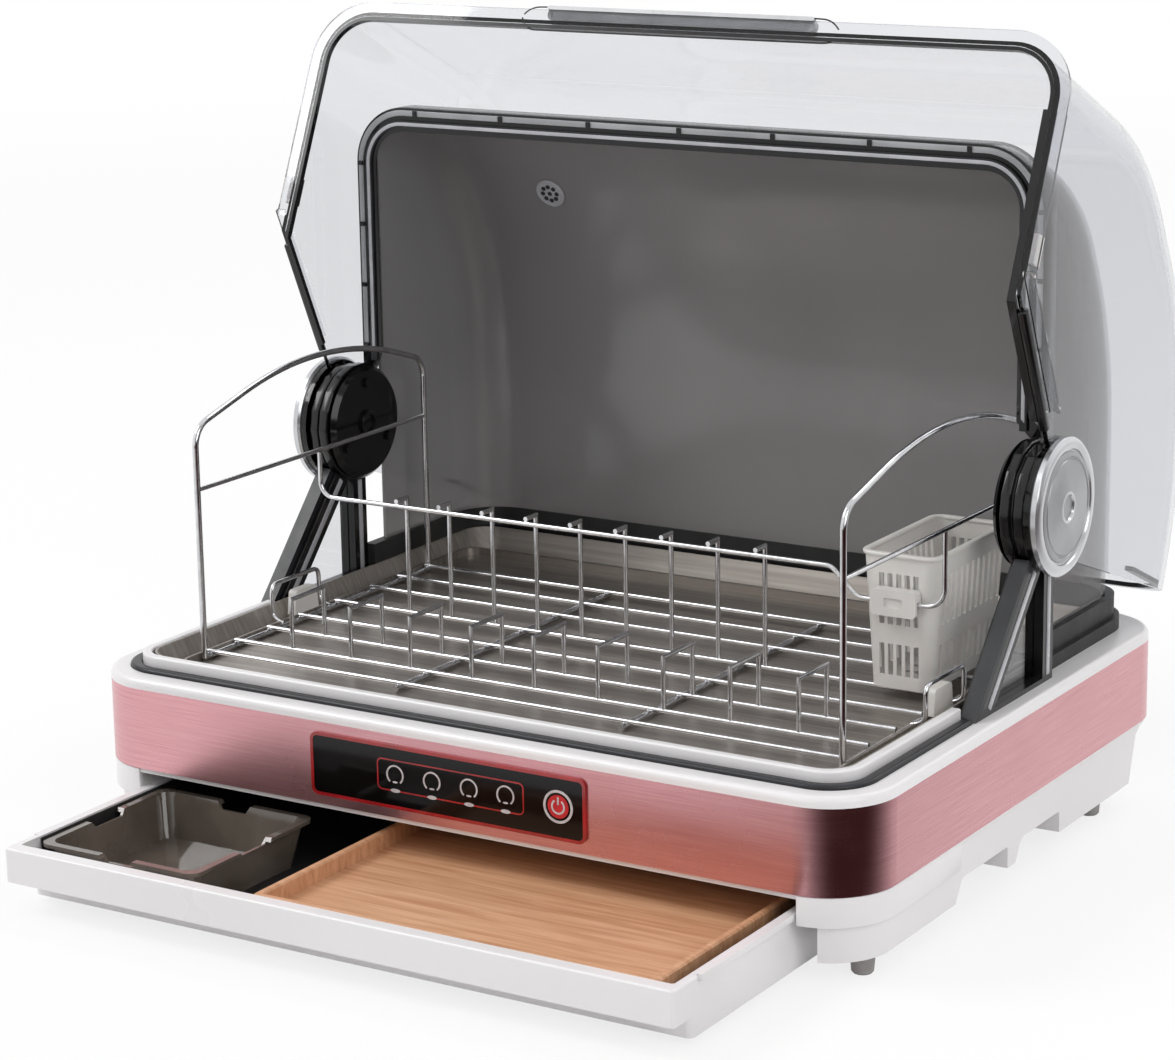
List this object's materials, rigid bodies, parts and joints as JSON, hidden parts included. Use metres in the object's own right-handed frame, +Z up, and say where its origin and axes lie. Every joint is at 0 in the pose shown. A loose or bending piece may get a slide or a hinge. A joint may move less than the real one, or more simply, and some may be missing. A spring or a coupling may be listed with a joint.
{
  "type": "countertop dish dryer",
  "caption": "Countertop dish drying cabinet: white base with touch panel and a drawer, wire rack, fixed smoked rear cover and a clear lid that swings up on side hubs.",
  "frame": {"origin": "centre of the bounding box's base, on the worktop, with the lid open and the drawer part way out", "axes": "+Z up, +Y to the back of the cabinet, +X to the right of someone facing its control panel"},
  "size_m": [0.542, 0.6126, 0.4993],
  "materials": {
    "white_plastic": "smooth satin moulding",
    "rose_band": "satin rose metallic",
    "black_gloss": "polished",
    "black_matte": "fine texture",
    "black_rubber": "moulded",
    "clear_lid": "clear moulding",
    "smoke_cover": "smoke tint moulding",
    "chrome_wire": "plated wire",
    "steel": "plain",
    "silver_cap": "satin silver",
    "warm_liner": "satin sheet",
    "tray_steel": "satin sheet",
    "light_basket": "satin moulding",
    "smoke_box": "translucent moulding",
    "wood": "oiled",
    "red_bezel": "polished",
    "icon_print": "printed",
    "green_board": "coated",
    "heater_fins": "plain",
    "dark_liner": "fine texture"
  },
  "bodies": {
    "base": {"lower_housing": "white_plastic", "trim_band": "rose_band", "rubber_feet": "black_rubber", "upper_rim": "white_plastic", "rim_seal": "black_rubber", "inner_liner": "warm_liner", "drip_tray": "tray_steel", "base_deck": "black_matte", "base_screws": "steel", "drawer_runner_left": "black_matte", "drawer_runner_right": "black_matte", "control_bezel": "red_bezel", "control_glass": "black_gloss", "touch_icons": "icon_print", "control_board": "green_board", "power_board": "green_board", "fan_housing": "black_matte", "ptc_heater": "heater_fins", "inlet_socket": "black_matte", "rear_grille": "black_matte", "cover_skirt": "black_gloss", "rear_cover": "smoke_cover", "vent_insert": "black_matte", "arch_frame": "black_gloss", "arch_seal": "black_rubber", "frame_studs": "silver_cap", "brace_left": "black_gloss", "brace_right": "black_gloss", "side_panes": "clear_lid", "leg_seal_left": "black_rubber", "leg_seal_right": "black_rubber", "hub_drum_left": "black_matte", "hub_drum_right": "black_matte", "hub_plates": "steel", "hub_screws": "steel", "hub_pins": "steel", "rack_end_left": "chrome_wire", "rack_end_right": "chrome_wire", "rack_floor_wires": "chrome_wire", "rack_bar": "chrome_wire", "plate_dividers": "chrome_wire", "bowl_dividers": "chrome_wire", "utensil_basket": "light_basket", "basket_clip": "light_basket", "rack_clips": "light_basket"},
    "lid": {"lid_shell": "clear_lid", "lid_gasket": "black_rubber", "lid_handle": "white_plastic", "lid_edge_trim": "black_rubber", "lid_boss_left": "black_matte", "lid_boss_right": "black_matte", "hub_cap_left": "silver_cap", "hub_cap_right": "silver_cap", "lid_clips": "light_basket"},
    "drawer": {"drawer_box": "white_plastic", "drawer_liner": "dark_liner", "storage_box": "smoke_box", "wood_tray": "wood"},
    "fan": {"fan_rotor": "black_matte"}
  },
  "joints": [
    {"name": "lid_hinge", "type": "hinge", "parent": "base", "child": "lid", "pos_m": [0, 0.08567, 0.218], "axis": [1, 0, 0], "range_deg": [0, 114]},
    {"name": "drawer_slide", "type": "slide", "parent": "base", "child": "drawer", "axis": [0, -1, 0], "range_m": [-0.13, 0.09]},
    {"name": "fan_spin", "type": "hinge", "parent": "base", "child": "fan", "pos_m": [-0.06, 0.14567, 0.07], "axis": [0, 0, 1], "continuous": true}
  ]
}
